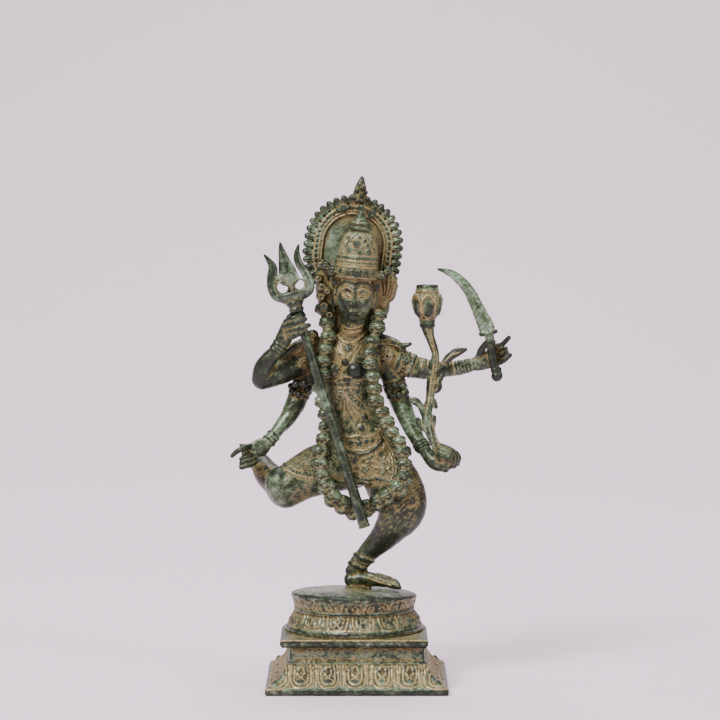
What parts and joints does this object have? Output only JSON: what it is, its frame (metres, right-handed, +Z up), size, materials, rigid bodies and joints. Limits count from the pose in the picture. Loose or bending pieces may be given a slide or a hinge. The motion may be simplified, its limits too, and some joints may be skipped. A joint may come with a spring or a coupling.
{
  "type": "kali figure",
  "caption": "Cast bronze statuette of a four-armed dancing goddess with halo, garland, sword, lotus and trident, standing on one leg on a stepped lotus pedestal.",
  "frame": {"origin": "middle of the square underside of the pedestal, on the surface it stands on", "axes": "+Z up through the figure, +X to the viewer's right when the face is looked at, +Y to the back"},
  "size_m": [0.1674, 0.108, 0.3021],
  "materials": {
    "figure_bronze": "patinated bronze: green-black on the high places, ochre dirt in the hollows",
    "trident_bronze": "patinated bronze, dark green-black and a little smoother than the figure",
    "pedestal_bronze": "patinated bronze: green-brown with ochre dirt in the petals"
  },
  "bodies": {
    "root": {"figure": "figure_bronze", "trident": "trident_bronze", "pedestal": "pedestal_bronze"}
  },
  "joints": []
}
